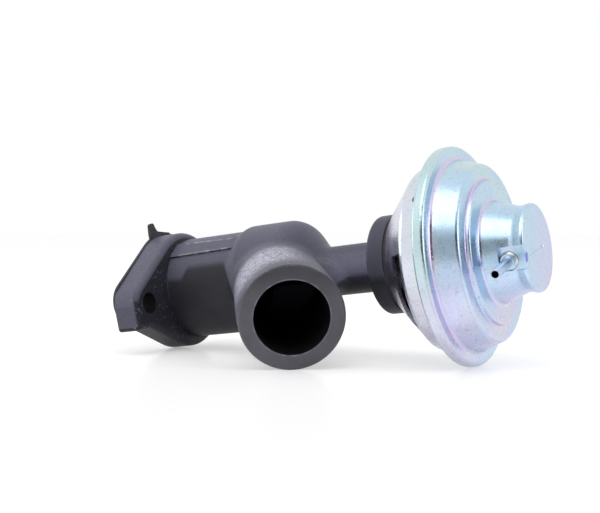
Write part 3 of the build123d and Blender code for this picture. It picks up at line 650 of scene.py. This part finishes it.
class EGR_OT_inner_parts(bpy.types.Operator):
    """Finishes of gaskets, stem parts, seals, screws and spring"""

    bl_idname = "egr.inner_parts"
    bl_label = "Finish the inner parts"

    def execute(self, context):
        sheet = Finish("gasket_sheet")
        fleck = sheet.ramp(
            sheet.noise(900.0, 3.0, 0.7),
            [(0.35, (0.016, 0.016, 0.019)), (0.65, (0.040, 0.040, 0.045))],
        )
        sheet.set(
            Base_Color=fleck,
            Roughness=0.62,
            Normal=sheet.bump(sheet.noise(700.0, 4.0, 0.6), distance=0.00006, strength=0.6),
        )
        wear(sheet.material, "inlet_gasket")

        fibre = Finish("insulating_board")
        strands = fibre.noise(500.0, 5.0, 0.75, distortion=2.0)
        fibre.set(
            Base_Color=fibre.ramp(
                strands, [(0.3, (0.030, 0.028, 0.026)), (0.7, (0.075, 0.070, 0.064))]
            ),
            Roughness=0.8,
            Normal=fibre.bump(strands, distance=0.00008, strength=0.7),
        )
        wear(fibre.material, "insulating_gasket")

        turned = self.turned("turned_steel", (0.52, 0.51, 0.50), 0.30)
        wear(
            turned.material,
            "valve_stem", "seal_retainer", "stem_shield", "stem_washer", "stem_nut",
        )
        sooty = self.turned("sooted_steel", (0.30, 0.27, 0.25), 0.42, soot=0.75)
        wear(sooty.material, "seat_ring", "poppet")
        bush = self.turned("bronze", (0.66, 0.46, 0.27), 0.38)
        wear(bush.material, "guide_bush")
        carbon = self.turned("carbon", (0.05, 0.05, 0.052), 0.55)
        wear(carbon.material, "carbon_scraper")

        drawn = self.mottled(
            "spring_wire", 700.0, [(0.3, (0.20, 0.20, 0.21)), (0.7, (0.36, 0.36, 0.37))],
            roughness=(0.30, 0.44), metallic=1.0, distortion=1.2)
        wear(drawn.material, "return_spring")
        oxide = self.mottled(
            "black_screws", 1300.0, [(0.35, (0.035, 0.035, 0.040)), (0.75, (0.13, 0.13, 0.14))],
            roughness=(0.34, 0.48), metallic=0.8)
        wear(oxide.material, "capsule_screw_1", "capsule_screw_2", "capsule_screw_3")
        rubber = self.mottled(
            "seal_rubber", 1800.0, [(0.3, (0.014, 0.014, 0.015)), (0.7, (0.030, 0.030, 0.032))],
            roughness=(0.50, 0.66))
        wear(rubber.material, "stem_seal")

        self.cloth_rubber()
        return {"FINISHED"}

    def mottled(self, name, scale, tones, roughness, metallic=0.0, distortion=0.0):
        """A material whose colour, roughness and slight bump follow one noise."""
        made = Finish(name)
        fleck = made.noise(scale, 3.0, 0.6, distortion=distortion)
        made.set(
            Base_Color=made.ramp(fleck, tones),
            Metallic=metallic,
            Roughness=made.ramp(fleck, [(0.3, roughness[0]), (0.7, roughness[1])]),
            Normal=made.bump(fleck, distance=0.00003, strength=0.5),
        )
        return made

    def turned(self, name, colour, roughness, soot=0.0):
        """Turned metal with fine lathe lines about the stem, and optional soot."""
        metal = Finish(name)
        along, radius = metal.along_axis(WASHER, STEM)
        turn = metal.product(metal.math("ADD", along, radius), 2 * math.pi / LATHE_PITCH)
        lines = metal.math("MULTIPLY_ADD", metal.math("SINE", turn), 0.5, 0.5)
        blur = metal.noise(420.0, 3.0, 0.6)
        tone = metal.ramp(blur, [(0.3, 0.84), (0.7, 1.12)])
        shade = metal.blend(1.0, colour, tone, "MULTIPLY")
        if soot:
            film = metal.ramp(metal.noise(210.0, 4.0, 0.6), [(0.35, soot), (0.70, 0.15)])
            shade = metal.blend(film, shade, SEAT_SOOT)
        metal.set(
            Base_Color=shade,
            Metallic=1.0 - 0.4 * soot,
            Roughness=metal.ramp(blur, [(0.3, roughness - 0.06), (0.7, roughness + 0.08)]),
            Normal=metal.bump(lines, distance=0.00001, strength=0.5),
        )
        return metal

    def cloth_rubber(self):
        """Rubber over a woven fabric, which shows as a fine square weave."""
        skin = Finish("diaphragm_rubber")
        turn = 2 * math.pi / CLOTH_PITCH
        parts = skin.node("ShaderNodeSeparateXYZ")
        skin.feed(parts.inputs[0], skin.place)
        warp = skin.math("SINE", skin.product(parts.outputs["Y"], turn))
        weft = skin.math("SINE", skin.product(parts.outputs["Z"], turn))
        weave = skin.math("MULTIPLY_ADD", skin.product(warp, weft), 0.5, 0.5)
        bloom = skin.noise(160.0, 3.0, 0.6)
        skin.set(
            Base_Color=skin.ramp(
                bloom, [(0.3, (0.020, 0.020, 0.022)), (0.7, (0.045, 0.044, 0.043))]
            ),
            Roughness=skin.ramp(weave, [(0.0, 0.62), (1.0, 0.50)]),
            Normal=skin.bump(weave, distance=0.00005, strength=0.6),
        )
        wear(skin.material, "diaphragm")


# ------------------------------------------------------------------ small pieces
# Section of the braze bead, out and up from its circle, in bead sizes
BEAD_SECTION = ((-0.6, -1.0), (1.3, -1.0), (1.0, -0.4), (0.25, 0.1), (-0.1, 0.8), (-0.6, 0.9))
BEAD_STEPS = 64
DAB_SEGMENTS = 28
DAB_THICKNESS = 0.00005
DAB_BEVEL = 0.0003
DAB_CROWN = 0.00003


def piece(name, form, material):
    """Links a finished bmesh as a piece that rides on the housing."""
    bmesh.ops.recalc_face_normals(form, faces=form.faces)
    mesh = bpy.data.meshes.new(name)
    form.to_mesh(mesh)
    form.free()
    mesh.materials.append(material)
    for face in mesh.polygons:
        face.use_smooth = True
    made = bpy.data.objects.new(name, mesh)
    bpy.context.scene.collection.objects.link(made)
    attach(made, "housing")


def upright(place, axis):
    """Matrix that stands local Z along an axis at a place, with local Y as near up as it goes."""
    across = UP.cross(axis).normalized()
    turn = Matrix((across, axis.cross(across), axis)).transposed()
    return Matrix.Translation(place) @ turn.to_4x4()


class EGR_OT_braze_bead(bpy.types.Operator):
    """Thin fillet of braze round the foot of the nipple's ferrule"""

    bl_idname = "egr.braze_bead"
    bl_label = "Braze the nipple"

    def execute(self, context):
        settings = context.scene.egr_marks
        tip, axis = mount("vacuum_nipple")
        foot = WASHER + STEM * (tip - WASHER).dot(STEM) + axis * settings.bead_height
        form = bmesh.new()
        size = settings.bead_size
        ring = [
            form.verts.new((settings.bead_radius + out * size, 0.0, up * size))
            for out, up in BEAD_SECTION
        ]
        edges = [form.edges.new((one, two)) for one, two in zip(ring, ring[1:] + ring[:1])]
        bmesh.ops.spin(
            form, geom=ring + edges, cent=(0, 0, 0), axis=(0, 0, 1), angle=2 * math.pi,
            steps=BEAD_STEPS, use_merge=True,
        )
        for vert in form.verts:
            around = math.atan2(vert.co.y, vert.co.x)
            swell = 1.0 + 0.010 * math.sin(5 * around) + 0.008 * math.sin(9 * around + 1.0)
            vert.co.x *= swell
            vert.co.y *= swell
        bmesh.ops.transform(form, matrix=upright(foot, axis), verts=form.verts)

        braze = Finish("braze")
        ripple = braze.noise(1500.0, 3.0, 0.6)
        tone = braze.ramp(braze.noise(600.0, 2.0, 0.5), [(0.35, 0.80), (0.65, 1.1)])
        braze.set(
            Base_Color=braze.blend(1.0, settings.bead_colour, tone, "MULTIPLY"),
            Metallic=1.0,
            Roughness=braze.ramp(ripple, [(0.3, 0.28), (0.7, 0.44)]),
            Normal=braze.bump(ripple, distance=0.00005, strength=0.7),
        )
        piece("braze_bead", form, braze.material)
        return {"FINISHED"}


class EGR_OT_paint_dab(bpy.types.Operator):
    """Blue inspection dab brushed on the rim of the tower's end face"""

    bl_idname = "egr.paint_dab"
    bl_label = "Dab the tower with paint"

    def execute(self, context):
        settings = context.scene.egr_marks
        out = round_stem(settings.dab_angle)
        place = WASHER + STEM * settings.dab_along + out * settings.dab_radius
        form = bmesh.new()
        made = bmesh.ops.create_circle(
            form, cap_ends=True, segments=DAB_SEGMENTS, radius=1.0)
        for vert in made["verts"]:
            around = math.atan2(vert.co.y, vert.co.x)
            reach = 1.0 + 0.14 * math.sin(2 * around + 0.6) + 0.07 * math.sin(5 * around)
            vert.co.x *= reach * settings.dab_width / 2
            vert.co.y *= reach * settings.dab_height / 2
        top = bmesh.ops.extrude_face_region(form, geom=form.faces[:])
        raised = [item for item in top["geom"] if isinstance(item, bmesh.types.BMVert)]
        crown = [item for item in top["geom"] if isinstance(item, bmesh.types.BMFace)]
        bmesh.ops.translate(form, vec=(0, 0, DAB_THICKNESS), verts=raised)
        bmesh.ops.inset_region(form, faces=crown, thickness=DAB_BEVEL, depth=DAB_CROWN)
        bmesh.ops.transform(form, matrix=upright(place, STEM), verts=form.verts)

        paint = Finish("blue_paint")
        streak = paint.noise(900.0, 3.0, 0.6, distortion=0.8)
        shade = paint.ramp(streak, [(0.30, 0.80), (0.70, 1.18)])
        paint.set(
            Base_Color=paint.blend(1.0, settings.dab_colour, shade, "MULTIPLY"),
            Roughness=paint.ramp(streak, [(0.3, 0.26), (0.7, 0.40)]),
            Normal=paint.bump(streak, distance=0.00003, strength=0.6),
        )
        piece("paint_dab", form, paint.material)
        return {"FINISHED"}


# ------------------------------------------------------------------ stage
WHITE = (1.0, 1.0, 1.0, 1.0)
LAMP_TARGET = (0, 0, 0.03)
OVERHEAD_PLACE = (0.02, -0.40, 0.72)
OVERHEAD_COLOUR = (0.97, 0.97, 1.0)
SIDE_PLACE = (0.80, 0.02, 0.34)
LEFT_PLACE = (-0.74, -0.14, 0.22)
SIDE_COLOUR = (0.98, 0.98, 1.0)
FLOOR_SIZE = (4.0, 4.0)
FLOOR_PLACE = (0.0, 1.2, 0.0)

# The dark card: its size, the point on the capsule that it faces, and its place from there
DARK_SIZE = (0.88, 0.60)
DARK_TARGET = Vector((0.055, -0.02, 0.035))
DARK_SIDE = Vector((0.652, -0.689, 0.316))
DARK_REACH = 0.75


def card(name, size, place, facing):
    """A flat studio card or floor of a size, at a place, its face towards a direction."""
    mesh = bpy.data.meshes.new(name)
    grid = bmesh.new()
    bmesh.ops.create_grid(grid, x_segments=1, y_segments=1, size=0.5)
    bmesh.ops.scale(grid, vec=(size[0], size[1], 1.0), verts=grid.verts)
    turn = Vector(facing).to_track_quat("Z", "Y").to_matrix().to_4x4()
    bmesh.ops.transform(grid, matrix=Matrix.Translation(place) @ turn, verts=grid.verts)
    grid.to_mesh(mesh)
    grid.free()
    made = bpy.data.objects.new(name, mesh)
    bpy.context.scene.collection.objects.link(made)
    return made


def lamp(name, level, size, place, colour):
    """A soft square lamp with a surface brightness, which looks at the object."""
    data = bpy.data.lights.new(name, "AREA")
    data.energy = level * math.pi * size * size
    data.size = size
    data.color = colour
    made = bpy.data.objects.new(name, data)
    made.location = place
    aim = Vector(LAMP_TARGET) - Vector(place)
    made.rotation_euler = aim.to_track_quat("-Z", "Y").to_euler()
    bpy.context.scene.collection.objects.link(made)


def where_seen(tree):
    """1 for camera, glossy and transmitted rays, 0 for the light that falls on things."""
    path = tree.nodes.new("ShaderNodeLightPath")
    seen = path.outputs["Is Camera Ray"]
    for kind in ("Is Glossy Ray", "Is Transmission Ray"):
        either = tree.nodes.new("ShaderNodeMath")
        either.operation = "MAXIMUM"
        tree.links.new(seen, either.inputs[0])
        tree.links.new(path.outputs[kind], either.inputs[1])
        seen = either.outputs[0]
    return seen


class EGR_OT_stage(bpy.types.Operator):
    """Camera, white world, floor, lamps and dark card"""

    bl_idname = "egr.stage"
    bl_label = "Set the stage"

    def execute(self, context):
        scene = context.scene
        settings = scene.egr_stage
        camera_data = bpy.data.cameras.new("camera")
        camera_data.lens = settings.camera_lens
        camera_data.sensor_width = 36.0
        camera = bpy.data.objects.new("camera", camera_data)
        aim = Vector(settings.view_line).to_track_quat("-Z", "Y").to_matrix().to_4x4()
        roll = Matrix.Rotation(settings.camera_roll, 4, "Z")
        camera.matrix_world = Matrix.Translation(settings.camera_place) @ aim @ roll
        scene.collection.objects.link(camera)
        scene.camera = camera
        scene.view_settings.view_transform = "Standard"

        self.light_world(settings.sky_level)
        self.lay_floor(settings)
        lamp("overhead", settings.lamp_level, settings.lamp_size, OVERHEAD_PLACE, OVERHEAD_COLOUR)
        lamp("side", settings.side_level, settings.side_size, SIDE_PLACE, SIDE_COLOUR)
        lamp("left", settings.side_level, settings.side_size, LEFT_PLACE, SIDE_COLOUR)
        self.hang_dark_card()
        return {"FINISHED"}

    def light_world(self, level):
        """Even soft light on the object, and plain white where the world is seen."""
        world = bpy.data.worlds.new("studio")
        bpy.context.scene.world = world
        world.use_nodes = True
        tree = world.node_tree
        tree.nodes.clear()
        soft = tree.nodes.new("ShaderNodeBackground")
        soft.inputs["Strength"].default_value = level
        white = tree.nodes.new("ShaderNodeBackground")
        pick = tree.nodes.new("ShaderNodeMixShader")
        output = tree.nodes.new("ShaderNodeOutputWorld")
        tree.links.new(where_seen(tree), pick.inputs["Fac"])
        tree.links.new(soft.outputs[0], pick.inputs[1])
        tree.links.new(white.outputs[0], pick.inputs[2])
        tree.links.new(pick.outputs[0], output.inputs["Surface"])
        for ground in (soft, white):
            ground.inputs["Color"].default_value = WHITE

    def hang_dark_card(self):
        """Dark card behind the camera, which draws the dark streaks on the plating."""
        place = DARK_TARGET + DARK_SIDE * DARK_REACH
        dark = card("dark_card", DARK_SIZE, place, -DARK_SIDE)
        cloth = bpy.data.materials.new("black_cloth")
        cloth.use_nodes = True
        skin = cloth.node_tree.nodes["Principled BSDF"]
        skin.inputs["Base Color"].default_value = (0.02, 0.02, 0.022, 1.0)
        skin.inputs["Roughness"].default_value = 1.0
        dark.data.materials.append(cloth)
        dark.visible_camera = False

    def lay_floor(self, settings):
        """White glossy board that shows faint reflections and the object's shadow."""
        floor = card("floor", FLOOR_SIZE, FLOOR_PLACE, UP)
        board = bpy.data.materials.new("white_board")
        board.use_nodes = True
        tree = board.node_tree
        tree.nodes.clear()
        flat = tree.nodes.new("ShaderNodeBsdfDiffuse")
        flat.inputs["Color"].default_value = (0.92, 0.92, 0.93, 1.0)
        shine = tree.nodes.new("ShaderNodeBsdfGlossy")
        shine.inputs["Color"].default_value = WHITE
        shine.inputs["Roughness"].default_value = 0.16
        surface = tree.nodes.new("ShaderNodeMixShader")
        surface.inputs["Fac"].default_value = settings.floor_gloss
        glow = tree.nodes.new("ShaderNodeEmission")
        glow.inputs["Color"].default_value = (1.0, 1.0, 0.99, 1.0)
        seen = tree.nodes.new("ShaderNodeMath")
        seen.operation = "MULTIPLY"
        seen.inputs[1].default_value = settings.floor_glow
        both = tree.nodes.new("ShaderNodeAddShader")
        output = tree.nodes.new("ShaderNodeOutputMaterial")
        tree.links.new(where_seen(tree), seen.inputs[0])
        tree.links.new(seen.outputs[0], glow.inputs["Strength"])
        tree.links.new(flat.outputs[0], surface.inputs[1])
        tree.links.new(shine.outputs[0], surface.inputs[2])
        tree.links.new(surface.outputs[0], both.inputs[0])
        tree.links.new(glow.outputs[0], both.inputs[1])
        tree.links.new(both.outputs[0], output.inputs["Surface"])
        floor.data.materials.append(board)


class EGR_PT_panel(bpy.types.Panel):
    """Sizes, colours and steps of the EGR valve"""

    bl_idname = "EGR_PT_panel"
    bl_label = "EGR valve"
    bl_space_type = "VIEW_3D"
    bl_region_type = "UI"
    bl_category = "EGR valve"

    def draw(self, context):
        for group in GROUPS:
            settings = getattr(context.scene, group)
            for key in settings.__annotations__:
                self.layout.prop(settings, key)
        for step in STEPS:
            self.layout.operator(step.bl_idname)


GROUPS = {
    "egr_casting": CastingSettings,
    "egr_capsule": CapsuleSettings,
    "egr_marks": MarkSettings,
    "egr_stage": StageSettings,
}
STEPS = (
    EGR_OT_casting, EGR_OT_capsule, EGR_OT_inner_parts, EGR_OT_braze_bead, EGR_OT_paint_dab,
    EGR_OT_stage,
)


def register():
    for group in GROUPS.values():
        bpy.utils.register_class(group)
    for name, group in GROUPS.items():
        setattr(bpy.types.Scene, name, PointerProperty(type=group))
    for step in (*STEPS, EGR_PT_panel):
        bpy.utils.register_class(step)


def unregister():
    for step in reversed((*STEPS, EGR_PT_panel)):
        bpy.utils.unregister_class(step)
    for name, group in GROUPS.items():
        delattr(bpy.types.Scene, name)
        bpy.utils.unregister_class(group)


def main():
    register()
    bpy.ops.egr.casting()
    bpy.ops.egr.capsule()
    bpy.ops.egr.inner_parts()
    bpy.ops.egr.braze_bead()
    bpy.ops.egr.paint_dab()
    bpy.ops.egr.stage()


if __name__ == "__main__":
    main()
